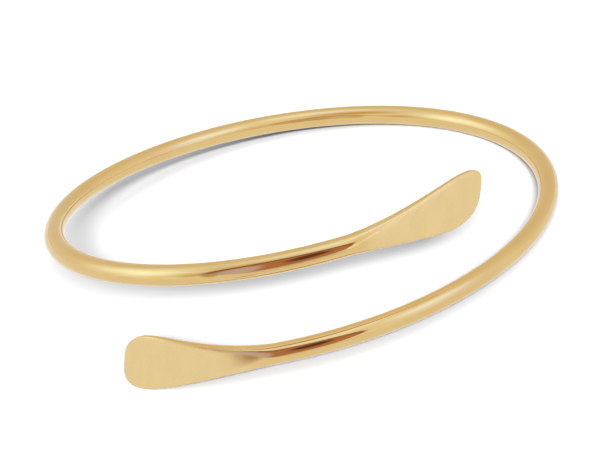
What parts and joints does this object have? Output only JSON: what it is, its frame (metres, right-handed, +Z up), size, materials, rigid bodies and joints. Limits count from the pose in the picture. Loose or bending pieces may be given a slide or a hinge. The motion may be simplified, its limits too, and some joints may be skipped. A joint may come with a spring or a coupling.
{
  "type": "spiral bracelet",
  "caption": "Open coil bracelet of one round gold-coloured wire, wound a little over one turn, with both ends hammered into flat paddles that pass each other.",
  "frame": {"origin": "on the table that the bracelet lies on, under the middle of its box", "axes": "+Z up, through the hollow for the wrist; +Y away from the front, where the two ends pass each other; +X towards the upper end's tip"},
  "size_m": [0.0662, 0.0668, 0.0191],
  "materials": {
    "gold": "polished yellow gold plating on the round wire, satin on the hammered faces"
  },
  "bodies": {
    "root": {"spiral_bangle": "gold"}
  },
  "joints": []
}
